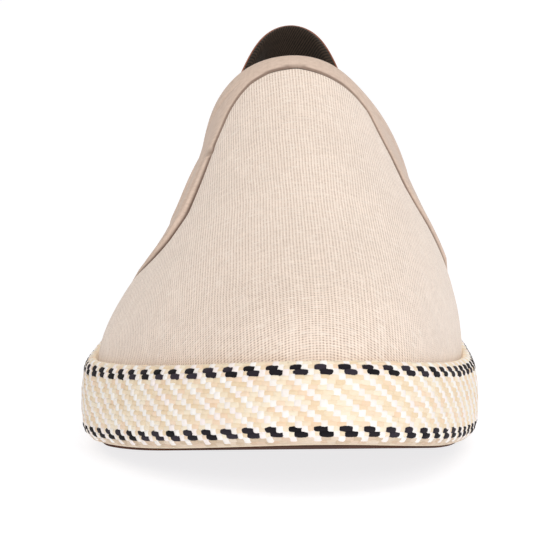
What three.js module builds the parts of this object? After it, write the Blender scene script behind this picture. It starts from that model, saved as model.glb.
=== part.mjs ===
// Espadrille for the right foot: a cloth slip-on shoe on a flat sole wrapped in woven tape.
// Millimetres. The toe points to -Y, the heel to +Y, the inner side of the foot is +X, +Z is up.
// Every form is worked out from the driving sizes below and two short tables.

import * as THREE from "three";

// ---------------------------------------------------------------- driving sizes

const LENGTH = 288; // sole, from toe tip to heel
const BALL_WIDTH = 103.7; // sole, across the ball of the foot
const INSTEP_HEIGHT = 96.8; // floor to the front edge of the collar
const HEEL_HEIGHT = 88; // floor to the top of the heel
const TOE_SPRING = 11.5; // how far the toe tip is lifted off the floor
const GAP = 0.3; // clearance between neighbouring pieces

const SPRING_START = 0.365 * LENGTH; // distance from the toe tip at which the lift begins
const OUTSOLE_TOP = 2.8;
const MIDSOLE_TOP = 15;
const INSOLE_THICKNESS = 3.5;
const TAPE_THICKNESS = 1.6;
const FEATHER_INSET = 4.4; // from the sole's edge in to the foot of the upper
const CLOTH_THICKNESS = 1.6;
const COLLAR_WIDTH = 5;
const COLLAR_THICKNESS = 2;

const AROUND = 88; // stations around the shoe
const SIDE = 11; // rows up the upper

// ---------------------------------------------------------------- the last

// Each row is one place around the foot, from the toe tip along the inner side to the heel and back
// along the outer side. edge is the sole's outline and collar is the upper's top edge: across in
// percent of BALL_WIDTH, along in percent of LENGTH from the toe tip, collarUp in millimetres.
// The wall climbs from edge to collar on a cubic curve: it leaves the sole upwards by rise and
// outwards by bulge, and comes in to the collar from reach of the way back and drop below it.
const COLUMNS = ["edgeAcross", "edgeAlong", "collarAcross", "collarAlong", "collarUp", "rise", "bulge", "reach", "drop"];
const LAST = [
  ["toe tip", 8.2, 0, 3.8, 45.8, 1.0 * INSTEP_HEIGHT, 32, 1.5, 0.56, 42],
  ["inner toe corner", 36.6, 6.8, 13.5, 46.4, 0.974 * INSTEP_HEIGHT, 30, 1.5, 0.52, 38],
  ["inner toe joint", 47.4, 19.6, 21.2, 47.6, 0.901 * INSTEP_HEIGHT, 30, 1.5, 0.45, 28],
  ["inner ball", 49.6, 29.0, 29.1, 50.7, 0.771 * INSTEP_HEIGHT, 26, 3.0, 0.34, 18],
  ["inner waist front", 47.2, 43.8, 34.3, 57.3, 0.594 * INSTEP_HEIGHT, 23, 6.4, 0.2, 12],
  ["inner waist", 42.4, 58.3, 33.3, 66.0, 0.495 * INSTEP_HEIGHT, 14, 2.0, 0.2, 10],
  ["inner waist back", 38.1, 72.2, 30.4, 75.3, 0.552 * HEEL_HEIGHT, 13, 1.0, 0.25, 12],
  ["inner heel side", 35.2, 84.7, 27.0, 85.1, 0.638 * HEEL_HEIGHT, 16, 2.0, 0.33, 14],
  ["inner heel corner", 28.0, 94.3, 19.2, 93.1, 0.793 * HEEL_HEIGHT, 18, 4.0, 0.33, 22],
  ["inner heel back", 12.1, 99.5, 10.6, 97.4, 0.977 * HEEL_HEIGHT, 20, 6.0, 0.33, 28],
  ["outer heel back", -6.8, 99.5, -3.2, 97.4, 0.977 * HEEL_HEIGHT, 20, 6.0, 0.33, 28],
  ["outer heel corner", -22.2, 94.3, -12.7, 93.1, 0.787 * HEEL_HEIGHT, 18, 4.0, 0.33, 22],
  ["outer heel side", -29.9, 84.7, -21.9, 85.1, 0.626 * HEEL_HEIGHT, 16, 2.0, 0.33, 14],
  ["outer waist back", -34.7, 72.2, -27.0, 75.3, 0.529 * HEEL_HEIGHT, 12, 0.5, 0.25, 12],
  ["outer waist", -40.5, 60.8, -28.7, 66.7, 0.458 * INSTEP_HEIGHT, 11, 0.5, 0.15, 12],
  ["outer waist front", -45.0, 48.6, -25.1, 58.3, 0.521 * INSTEP_HEIGHT, 13, 3.2, 0.04, 16],
  ["outer ball", -50.0, 29.8, -20.3, 51.7, 0.693 * INSTEP_HEIGHT, 25, 2.8, 0.03, 21],
  ["outer toe joint", -44.3, 18.9, -16.2, 48.1, 0.854 * INSTEP_HEIGHT, 24, 1.8, 0.33, 31],
  ["outer toe corner", -26.0, 7.5, -7.7, 46.5, 0.964 * INSTEP_HEIGHT, 29, 1.5, 0.5, 38],
];
const PLACES = LAST.length;

// A row's numbers by column name, with the percentages turned into millimetres.
function sizesOf([, ...numbers]) {
  const row = Object.fromEntries(COLUMNS.map((name, i) => [name, numbers[i]]));
  row.edgeAcross *= BALL_WIDTH / 100;
  row.collarAcross *= BALL_WIDTH / 100;
  row.edgeAlong *= LENGTH / 100;
  row.collarAlong *= LENGTH / 100;
  return row;
}

// Control values of the closed cubic B-spline that passes through every row of one column.
function controlsFor(values) {
  const controls = [...values];
  for (let pass = 0; pass < 60; pass++) {
    values.forEach((value, i) => {
      const before = controls[(i + PLACES - 1) % PLACES];
      const after = controls[(i + 1) % PLACES];
      controls[i] = (6 * value - before - after) / 4;
    });
  }
  return controls;
}

const rows = LAST.map(sizesOf);
const controls = Object.fromEntries(COLUMNS.map((name) => [name, controlsFor(rows.map((row) => row[name]))]));

// A column's value at a place, where place counts rows from the toe tip and may be a fraction.
function lastAt(name, place) {
  const wrapped = ((place % PLACES) + PLACES) % PLACES;
  const row = Math.floor(wrapped);
  const u = wrapped - row;
  const weights = [(1 - u) ** 3, 3 * u ** 3 - 6 * u ** 2 + 4, -3 * u ** 3 + 3 * u ** 2 + 3 * u + 1, u ** 3];
  return weights.reduce((sum, w, k) => sum + (w * controls[name][(row + k + PLACES - 1) % PLACES]) / 6, 0);
}

// ---------------------------------------------------------------- the sole's outline and side

// How far the shoe's underside is lifted at a distance from the toe tip.
function springAt(along) {
  return TOE_SPRING * Math.max(0, 1 - along / SPRING_START) ** 2;
}

// Middle of the outline's box, which is the part's origin.
const outlineX = Array.from({ length: 400 }, (_, i) => lastAt("edgeAcross", (i * PLACES) / 400));
const outlineY = Array.from({ length: 400 }, (_, i) => lastAt("edgeAlong", (i * PLACES) / 400));
const middleX = (Math.max(...outlineX) + Math.min(...outlineX)) / 2;
const middleY = (Math.max(...outlineY) + Math.min(...outlineY)) / 2;

// Unit vector out of the outline at a place, level with the floor.
function outwardAt(place) {
  const step = 0.01;
  const x = lastAt("edgeAcross", place + step) - lastAt("edgeAcross", place - step);
  const y = lastAt("edgeAlong", place + step) - lastAt("edgeAlong", place - step);
  return new THREE.Vector3(y, -x, 0).normalize();
}

// A point of the sole: inset from the outline, at a height above the floor before the toe spring.
function solePoint(place, inset, height) {
  const edge = new THREE.Vector3(lastAt("edgeAcross", place), lastAt("edgeAlong", place), 0);
  edge.addScaledVector(outwardAt(place), -inset);
  edge.z = height + springAt(edge.y);
  return edge;
}

// The outsole's underside: lifted a little between two flat spots, under the arch of the foot.
const TOE_THINNING = 1.6; // how much thinner the outsole is at the toe tip
const ARCH_LIFT = 1.2;
const ARCH_FRONT = 0.47 * LENGTH;
const ARCH_BACK = 0.66 * LENGTH;
function archAt(along) {
  const share = (along - ARCH_FRONT) / (ARCH_BACK - ARCH_FRONT);
  return share > 0 && share < 1 ? ARCH_LIFT * Math.sin(Math.PI * share) ** 2 : 0;
}

// Side profile of the tape's outer face, from the turned-under bottom edge to the top edge.
const TAPE_PROFILE = [
  { height: 0.8, inset: 3.8 },
  { height: 1.5, inset: 2.3 },
  { height: 3.2, inset: 1.0 },
  { height: 6.0, inset: 0.3 },
  { height: 10.5, inset: 0 },
  { height: 15.0, inset: 0.1 },
  { height: 19.0, inset: 0.5 },
  { height: 22.0, inset: 1.2 },
  { height: 22.6, inset: 1.9 },
];

// The same profile moved inwards along its own normals.
function tapeInside(thickness) {
  return TAPE_PROFILE.map(({ height, inset }, i) => {
    const before = TAPE_PROFILE[Math.max(i - 1, 0)];
    const after = TAPE_PROFILE[Math.min(i + 1, TAPE_PROFILE.length - 1)];
    const run = new THREE.Vector2(after.height - before.height, after.inset - before.inset).normalize();
    return { height: height - run.y * thickness, inset: inset + run.x * thickness };
  });
}

// ---------------------------------------------------------------- the upper's surface

// The wall's curve at a place, as a cubic from the feather edge to the collar.
function wallCurve(place) {
  const foot = solePoint(place, FEATHER_INSET, MIDSOLE_TOP + GAP);
  const collar = new THREE.Vector3(
    lastAt("collarAcross", place),
    lastAt("collarAlong", place),
    lastAt("collarUp", place),
  );
  const leaving = foot.clone().addScaledVector(outwardAt(place), lastAt("bulge", place));
  leaving.z += lastAt("rise", place);
  const arriving = collar.clone().lerp(foot, lastAt("reach", place));
  arriving.z = collar.z - lastAt("drop", place);
  return new THREE.CubicBezierCurve3(foot, leaving, arriving, collar);
}

// Unit vector out of the wall. share runs from 0 at the foot to 1 at the collar, by length.
function wallOutward(place, share) {
  const step = 0.02;
  const low = Math.max(share - step, 0);
  const high = Math.min(share + step, 1);
  const around = wallCurve(place + step).getPointAt(share).sub(wallCurve(place - step).getPointAt(share));
  const curve = wallCurve(place);
  const up = curve.getPointAt(high).sub(curve.getPointAt(low));
  return around.cross(up).normalize();
}

// A point of the wall, down millimetres below the collar's edge and out millimetres outside the cloth.
function wallPoint(place, down, out) {
  const curve = wallCurve(place);
  const share = 1 - down / curve.getLength();
  const point = curve.getPointAt(Math.min(share, 1));
  point.addScaledVector(wallOutward(place, Math.min(share, 1)), out);
  if (share > 1) point.z += (share - 1) * curve.getLength();
  return point;
}

// ---------------------------------------------------------------- closed meshes from loops

// One closed solid from point loops of equal length, each joined to the next.
// A ring joins its last loop to its first. Otherwise both end loops are closed with cross strips.
function loft(loops, isRing) {
  const size = loops[0].length;
  const index = [];
  const spans = isRing ? loops.length : loops.length - 1;
  for (let i = 0; i < spans; i++) {
    const here = i * size;
    const next = ((i + 1) % loops.length) * size;
    for (let k = 0; k < size; k++) {
      const far = (k + 1) % size;
      index.push(here + k, here + far, next + far, here + k, next + far, next + k);
    }
  }
  if (!isRing) {
    closeLoop(index, 0, size, true);
    closeLoop(index, (loops.length - 1) * size, size, false);
  }
  const geometry = new THREE.BufferGeometry();
  const points = loops.flat().map((p) => new THREE.Vector3(p.x - middleX, p.y - middleY, p.z));
  geometry.setFromPoints(points);
  geometry.setIndex(index);
  geometry.computeVertexNormals();
  return geometry;
}

// Strips between point k and its opposite number, from one end of the loop to the other.
function closeLoop(index, start, size, isFirst) {
  const faces = [];
  for (let k = 0; k < size / 2; k++) {
    const near = start + k;
    const nearNext = start + k + 1;
    const far = start + ((size - k) % size);
    const farNext = start + ((2 * size - k - 1) % size);
    if (k > 0) faces.push([near, far, farNext]);
    if (nearNext !== farNext) faces.push([near, farNext, nearNext]);
  }
  faces.forEach(([a, b, c]) => index.push(...(isFirst ? [a, b, c] : [a, c, b])));
}

const stations = Array.from({ length: AROUND }, (_, i) => (i * PLACES) / AROUND);

// A slab of the sole from its side profile, bottom to top, each level one loop around the shoe.
function slab(levels, heightAt) {
  return loft(
    levels.map((level) => stations.map((place) => heightAt(place, level))),
    false,
  );
}

// A ring around the shoe. Its cross-section at each station is a loop of points, up the outside
// and down the inside, which is turned round so that the faces point outwards.
function ring(sectionAt) {
  return loft(
    stations.map((place) => sectionAt(place).reverse()),
    true,
  );
}

// ---------------------------------------------------------------- the pieces

function outsole() {
  const levels = [
    { height: 0, inset: 5.9 },
    { height: 0.5, inset: 5.2 },
    { height: 1.3, inset: 4.9 },
    { height: OUTSOLE_TOP, inset: 4.9 },
  ];
  return slab(levels, (place, { height, inset }) => {
    const point = solePoint(place, inset, height);
    const thinning = TOE_THINNING * Math.sqrt(springAt(point.y) / TOE_SPRING);
    point.z += (archAt(point.y) + thinning) * (1 - height / OUTSOLE_TOP);
    return point;
  });
}

function midsole() {
  const levels = [
    { height: OUTSOLE_TOP + GAP, inset: 4.3 },
    { height: 4.4, inset: 2.9 },
    { height: 6.6, inset: 2.3 },
    { height: 10.5, inset: TAPE_THICKNESS + 0.4 },
    { height: MIDSOLE_TOP, inset: TAPE_THICKNESS + 0.5 },
  ];
  return slab(levels, (place, { height, inset }) => solePoint(place, inset, height));
}

function insole() {
  const inset = FEATHER_INSET + CLOTH_THICKNESS + 3 * GAP;
  const bottom = MIDSOLE_TOP + GAP;
  const levels = [
    { height: bottom, inset },
    { height: bottom + INSOLE_THICKNESS - 0.6, inset },
    { height: bottom + INSOLE_THICKNESS, inset: inset + 0.8 },
  ];
  return slab(levels, (place, level) => solePoint(place, level.inset, level.height));
}

function foxingBand() {
  const outside = TAPE_PROFILE;
  const inside = tapeInside(TAPE_THICKNESS).reverse();
  return ring((place) => [...outside, ...inside].map(({ height, inset }) => solePoint(place, inset, height)));
}

// The upper: one cloth wall, open underneath and at the collar, ending where the collar band starts.
function upper() {
  return ring((place) => {
    const curve = wallCurve(place);
    const top = 1 - (COLLAR_WIDTH + GAP) / curve.getLength();
    const outside = [];
    const inside = [];
    for (let row = 0; row <= SIDE; row++) {
      const share = (top * row) / SIDE;
      const point = curve.getPointAt(share);
      const within = point.clone().addScaledVector(wallOutward(place, share), -CLOTH_THICKNESS);
      if (row === 0) within.z = point.z;
      outside.push(point);
      inside.push(within);
    }
    return [...outside, ...inside.reverse()];
  });
}

// The folded strip that finishes the top edge all the way round.
function collarBand() {
  const proud = 0.2;
  const inner = proud - COLLAR_THICKNESS;
  const section = [
    { down: COLLAR_WIDTH, out: proud },
    { down: COLLAR_WIDTH / 2, out: proud },
    { down: 0.6, out: proud },
    { down: 0, out: proud - 0.5 },
    { down: 0, out: inner + 0.5 },
    { down: 0.6, out: inner },
    { down: COLLAR_WIDTH / 2, out: inner },
    { down: COLLAR_WIDTH, out: inner },
  ];
  return ring((place) => section.map(({ down, out }) => wallPoint(place, down, out)));
}

// The leather piece on the back of the heel: widest at the collar, rounded below.
const PATCH_HEIGHT = 46;
const PATCH_HALF_WIDTH = 1.7; // in rows of the last either side of the heel's middle
const HEEL_MIDDLE = 9.5; // the place halfway between the two heel back rows
function heelPatch() {
  const spread = 16;
  const levels = 8;
  const nearFace = 0.5;
  const farFace = nearFace + 1.2;
  const loops = [];
  for (let i = 0; i <= spread; i++) {
    const across = (2 * i) / spread - 1;
    const depth = PATCH_HEIGHT * (1 - 0.62 * Math.abs(across) ** 3);
    const place = HEEL_MIDDLE + PATCH_HALF_WIDTH * across;
    const faceAt = (out) =>
      Array.from({ length: levels + 1 }, (_, k) => wallPoint(place, -0.4 + (depth * k) / levels, out));
    loops.push([...faceAt(farFace), ...faceAt(nearFace).reverse()]);
  }
  return loft(loops, false);
}

// ---------------------------------------------------------------- the shoe

const finishes = {
  cloth: { color: "#e2d4c8", roughness: 0.95, metalness: 0 },
  collar: { color: "#dbcfc6", roughness: 0.95, metalness: 0 },
  jute: { color: "#efe0cb", roughness: 0.95, metalness: 0 },
  leather: { color: "#6b4330", roughness: 0.6, metalness: 0 },
  rubber: { color: "#6a4934", roughness: 0.8, metalness: 0 },
  rope: { color: "#d8c09a", roughness: 1, metalness: 0 },
  lining: { color: "#3a302b", roughness: 0.95, metalness: 0 },
};

function piece(name, geometry, finish) {
  const mesh = new THREE.Mesh(geometry, new THREE.MeshStandardMaterial(finishes[finish]));
  mesh.name = name;
  return mesh;
}

const shoe = new THREE.Group();
shoe.name = "espadrille";
shoe.add(
  piece("outsole", outsole(), "rubber"),
  piece("midsole", midsole(), "rope"),
  piece("foxing_band", foxingBand(), "jute"),
  piece("upper", upper(), "cloth"),
  piece("collar_band", collarBand(), "collar"),
  piece("heel_patch", heelPatch(), "leather"),
  piece("insole", insole(), "lining"),
);

export default shoe;
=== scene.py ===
"""Espadrille for the right foot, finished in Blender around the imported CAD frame.

Lengths in this script are millimetres until a mesh is made. The toe points to -Y, the inner side
of the foot is +X, and +Z is up. A place runs round the shoe from 0 at the toe tip along the inner
side to 9.5 at the heel and back along the outer side to 19. A share runs up the wall of the upper,
from 0 at the sole to 1 at the collar, by length.
"""

import math

import bmesh
import bpy
import numpy as np
from mathutils import Euler, Matrix, Vector


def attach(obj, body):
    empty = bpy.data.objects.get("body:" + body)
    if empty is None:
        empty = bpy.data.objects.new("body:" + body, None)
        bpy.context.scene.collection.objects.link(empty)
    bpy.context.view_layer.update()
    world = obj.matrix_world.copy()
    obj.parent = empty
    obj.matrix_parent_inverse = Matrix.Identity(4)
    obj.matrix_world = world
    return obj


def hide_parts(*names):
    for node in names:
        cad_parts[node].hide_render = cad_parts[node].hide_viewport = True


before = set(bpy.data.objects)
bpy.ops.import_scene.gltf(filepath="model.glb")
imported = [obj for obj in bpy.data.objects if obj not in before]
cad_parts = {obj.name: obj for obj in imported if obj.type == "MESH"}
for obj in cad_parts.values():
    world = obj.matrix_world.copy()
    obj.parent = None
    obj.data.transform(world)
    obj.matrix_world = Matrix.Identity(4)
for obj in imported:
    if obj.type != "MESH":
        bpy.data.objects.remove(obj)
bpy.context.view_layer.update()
MM = 0.001
rng = np.random.default_rng(19)

# ------------------------------------------------------------------ sizes shared with the CAD part

LENGTH = 288.0
BALL_WIDTH = 103.7
INSTEP_HEIGHT = 96.8
HEEL_HEIGHT = 88.0
TOE_SPRING = 11.5
SPRING_START = 0.365 * LENGTH
OUTSOLE_TOP = 2.8
MIDSOLE_TOP = 15.0
INSOLE_TOP = 18.8
FEATHER_INSET = 4.4
CLOTH_THICKNESS = 1.6
TOE_THINNING = 1.6
ARCH_LIFT = 1.2
ARCH_FRONT = 0.47 * LENGTH
ARCH_BACK = 0.66 * LENGTH

# One row a place: edge across and along, collar across and along (percent of ball width and of
# length), collar height, then the wall's rise, bulge, reach and drop.
LAST = np.array([
    [8.2, 0, 3.8, 45.8, 1.0 * INSTEP_HEIGHT, 32, 1.5, 0.56, 42],
    [36.6, 6.8, 13.5, 46.4, 0.974 * INSTEP_HEIGHT, 30, 1.5, 0.52, 38],
    [47.4, 19.6, 21.2, 47.6, 0.901 * INSTEP_HEIGHT, 30, 1.5, 0.45, 28],
    [49.6, 29.0, 29.1, 50.7, 0.771 * INSTEP_HEIGHT, 26, 3.0, 0.34, 18],
    [47.2, 43.8, 34.3, 57.3, 0.594 * INSTEP_HEIGHT, 23, 6.4, 0.2, 12],
    [42.4, 58.3, 33.3, 66.0, 0.495 * INSTEP_HEIGHT, 14, 2.0, 0.2, 10],
    [38.1, 72.2, 30.4, 75.3, 0.552 * HEEL_HEIGHT, 13, 1.0, 0.25, 12],
    [35.2, 84.7, 27.0, 85.1, 0.638 * HEEL_HEIGHT, 16, 2.0, 0.33, 14],
    [28.0, 94.3, 19.2, 93.1, 0.793 * HEEL_HEIGHT, 18, 4.0, 0.33, 22],
    [12.1, 99.5, 10.6, 97.4, 0.977 * HEEL_HEIGHT, 20, 6.0, 0.33, 28],
    [-6.8, 99.5, -3.2, 97.4, 0.977 * HEEL_HEIGHT, 20, 6.0, 0.33, 28],
    [-22.2, 94.3, -12.7, 93.1, 0.787 * HEEL_HEIGHT, 18, 4.0, 0.33, 22],
    [-29.9, 84.7, -21.9, 85.1, 0.626 * HEEL_HEIGHT, 16, 2.0, 0.33, 14],
    [-34.7, 72.2, -27.0, 75.3, 0.529 * HEEL_HEIGHT, 12, 0.5, 0.25, 12],
    [-40.5, 60.8, -28.7, 66.7, 0.458 * INSTEP_HEIGHT, 11, 0.5, 0.15, 12],
    [-45.0, 48.6, -25.1, 58.3, 0.521 * INSTEP_HEIGHT, 13, 3.2, 0.04, 16],
    [-50.0, 29.8, -20.3, 51.7, 0.693 * INSTEP_HEIGHT, 25, 2.8, 0.03, 21],
    [-44.3, 18.9, -16.2, 48.1, 0.854 * INSTEP_HEIGHT, 24, 1.8, 0.33, 31],
    [-26.0, 7.5, -7.7, 46.5, 0.964 * INSTEP_HEIGHT, 29, 1.5, 0.5, 38],
])
LAST[:, [0, 2]] *= BALL_WIDTH / 100
LAST[:, [1, 3]] *= LENGTH / 100
PLACES = len(LAST)

# Control rows of the closed cubic B-spline that passes through every row of the table.
circle = np.eye(PLACES) * 4 + np.roll(np.eye(PLACES), 1, 0) + np.roll(np.eye(PLACES), -1, 0)
CONTROLS = np.linalg.solve(circle, 6 * LAST)


def last_at(place):
    """All nine columns of the table at each place."""
    wrapped = np.asarray(place, float) % PLACES
    row = np.floor(wrapped).astype(int)
    u = (wrapped - row)[..., None]
    weights = ((1 - u) ** 3, 3 * u**3 - 6 * u**2 + 4, -3 * u**3 + 3 * u**2 + 3 * u + 1, u**3)
    return sum(w * CONTROLS[(row + k - 1) % PLACES] for k, w in enumerate(weights)) / 6


outline_sample = last_at(np.arange(400) * PLACES / 400)[:, :2]
MIDDLE = (outline_sample.max(0) + outline_sample.min(0)) / 2


def spring_at(along):
    return TOE_SPRING * np.clip(1 - along / SPRING_START, 0, None) ** 2


def outward_at(place):
    """Level unit vector out of the sole's outline."""
    run = last_at(place + 0.01)[..., :2] - last_at(place - 0.01)[..., :2]
    out = np.stack([run[..., 1], -run[..., 0]], -1)
    return out / np.linalg.norm(out, axis=-1, keepdims=True)


def sole_point(place, inset, height):
    """Points of the sole, inset from its outline, at a height before the toe spring."""
    edge = last_at(place)[..., :2] - outward_at(place) * np.asarray(inset)[..., None]
    return np.concatenate([edge, (height + spring_at(edge[..., 1]))[..., None]], -1)


def bell(value, middle, width):
    """1 at the middle, falling away on both sides."""
    return np.exp(-(((value - middle) / width) ** 2))


def eased(share):
    """A share from 0 to 1 with a gentle start and end."""
    return share * share * (3 - 2 * share)


# ------------------------------------------------------------------ the wall of the upper

WALL_PLACES = 48 * PLACES
WALL_SHARES = 321


def wall_tables():
    """Points, outward normals and lengths of the wall on a dense grid of places and shares."""
    place = np.arange(WALL_PLACES) * PLACES / WALL_PLACES
    values = last_at(place)
    foot = sole_point(place, np.full(WALL_PLACES, FEATHER_INSET), MIDSOLE_TOP + 0.3)
    collar = values[:, 2:5]
    rise, bulge, reach, drop = values[:, 5], values[:, 6], values[:, 7], values[:, 8]
    leaving = foot + np.concatenate([outward_at(place) * bulge[:, None], rise[:, None]], 1)
    arriving = collar + (foot - collar) * reach[:, None]
    arriving[:, 2] = collar[:, 2] - drop
    t = np.linspace(0, 1, 401)[:, None, None]
    curve = (1 - t) ** 3 * foot + 3 * (1 - t) ** 2 * t * leaving
    curve = curve + 3 * (1 - t) * t**2 * arriving + t**3 * collar
    step = np.linalg.norm(np.diff(curve, axis=0), axis=2)
    run = np.concatenate([np.zeros((1, WALL_PLACES)), np.cumsum(step, 0)])
    shares = np.linspace(0, 1, WALL_SHARES)
    points = np.empty((WALL_PLACES, WALL_SHARES, 3))
    for i in range(WALL_PLACES):
        for axis in range(3):
            points[i, :, axis] = np.interp(shares * run[-1, i], run[:, i], curve[:, i, axis])
    around = np.roll(points, -2, 0) - np.roll(points, 2, 0)
    normals = np.cross(around, np.gradient(points, axis=1))
    normals /= np.linalg.norm(normals, axis=2, keepdims=True)
    return points, normals, run[-1]


WALL, WALL_NORMAL, WALL_LENGTH = wall_tables()


def sample(table, place, share):
    """Value of a wall table between its grid points."""
    i = (np.asarray(place, float) % PLACES) * WALL_PLACES / PLACES
    j = np.clip(share, 0, 1) * (WALL_SHARES - 1)
    i0 = np.floor(i).astype(int)
    j0 = np.minimum(np.floor(j).astype(int), WALL_SHARES - 2)
    a, b = i - i0, j - j0
    if table.ndim == 3:
        a, b = a[..., None], b[..., None]
    i0 %= WALL_PLACES
    i1 = (i0 + 1) % WALL_PLACES
    low = table[i0, j0] * (1 - a) + table[i1, j0] * a
    high = table[i0, j0 + 1] * (1 - a) + table[i1, j0 + 1] * a
    return low * (1 - b) + high * b


def wall_length(place):
    grid = np.arange(WALL_PLACES + 1) * PLACES / WALL_PLACES
    return np.interp(np.asarray(place) % PLACES, grid, np.append(WALL_LENGTH, WALL_LENGTH[0]))


def wall_at(place, share, out):
    """Points out millimetres outside the wall. A share above 1 goes straight up from the collar."""
    place, share, out = np.broadcast_arrays(np.asarray(place, float), share, out)
    point = sample(WALL, place, share)
    normal = sample(WALL_NORMAL, place, share)
    normal = normal / np.linalg.norm(normal, axis=-1, keepdims=True)
    point = point + normal * out[..., None]
    point[..., 2] += np.clip(share - 1, 0, None) * wall_length(place)
    return point


def share_below(place, down):
    """The share that lies down millimetres below the collar."""
    return 1 - down / wall_length(place)


# ------------------------------------------------------------------ meshes


def add_mesh(name, points, faces, uvs, material, merge=0.0, tint=None):
    """A mesh piece from points in millimetres, with one UV pair for each corner of each face."""
    mesh = bpy.data.meshes.new(name)
    centred = (points.reshape(-1, 3) - [MIDDLE[0], MIDDLE[1], 0]) * MM
    mesh.from_pydata(centred.tolist(), [], faces.tolist())
    layer = mesh.uv_layers.new(name="cloth")
    layer.data.foreach_set("uv", np.asarray(uvs, np.float32).ravel())
    if tint is not None:
        tints = mesh.attributes.new("tint", "FLOAT", "POINT")
        tints.data.foreach_set("value", np.asarray(tint, np.float32).ravel())
    mesh.polygons.foreach_set("use_smooth", np.full(len(mesh.polygons), True))
    if merge:
        work = bmesh.new()
        work.from_mesh(mesh)
        bmesh.ops.remove_doubles(work, verts=work.verts, dist=merge * MM)
        work.to_mesh(mesh)
        work.free()
    mesh.materials.append(material)
    mesh.update()
    piece = bpy.data.objects.new(name, mesh)
    bpy.context.scene.collection.objects.link(piece)
    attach(piece, "root")
    return piece


def grid_faces(rows, columns, closed=False):
    """Quads of a grid, as point indices, and the same quads as rows and columns of its UV grid."""
    spans = columns if closed else columns - 1
    r, c = np.meshgrid(np.arange(rows - 1), np.arange(spans), indexing="ij")
    corners = [(r, c), (r, c + 1), (r + 1, c + 1), (r + 1, c)]
    faces = np.stack([a * columns + b % columns for a, b in corners], -1).reshape(-1, 4)
    cells = np.stack([np.stack([a, b], -1) for a, b in corners], -2).reshape(-1, 4, 2)
    return faces, cells


def grid_piece(name, points, uv, material, closed=False, flip=False, merge=0.0, tint=None):
    """A piece from a grid of points. A closed grid's UV has one column more than its points."""
    faces, cells = grid_faces(points.shape[0], points.shape[1], closed)
    if flip:
        faces, cells = faces[:, ::-1], cells[:, ::-1]
    uvs = uv[cells[..., 0], cells[..., 1]]
    return add_mesh(name, points, faces, uvs, material, merge=merge, tint=tint)


def patches_piece(name, patches, uv, material, tint=None, closed=False):
    """One piece of many small grids of the same size: patches is (count, rows, columns, 3)."""
    count, rows, columns = patches.shape[:3]
    faces, cells = grid_faces(rows, columns, closed)
    start = (np.arange(count) * rows * columns)[:, None, None]
    uvs = uv[:, cells[..., 0], cells[..., 1]]
    all_faces = (faces[None] + start).reshape(-1, 4)
    return add_mesh(name, patches, all_faces, uvs, material, tint=tint)


# ------------------------------------------------------------------ materials


def srgb(red, green, blue):
    """Linear colour from 0 to 255 screen values."""
    out = []
    for value in (red, green, blue):
        share = value / 255
        out.append(share / 12.92 if share <= 0.04045 else ((share + 0.055) / 1.055) ** 2.4)
    return (*out, 1.0)


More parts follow.
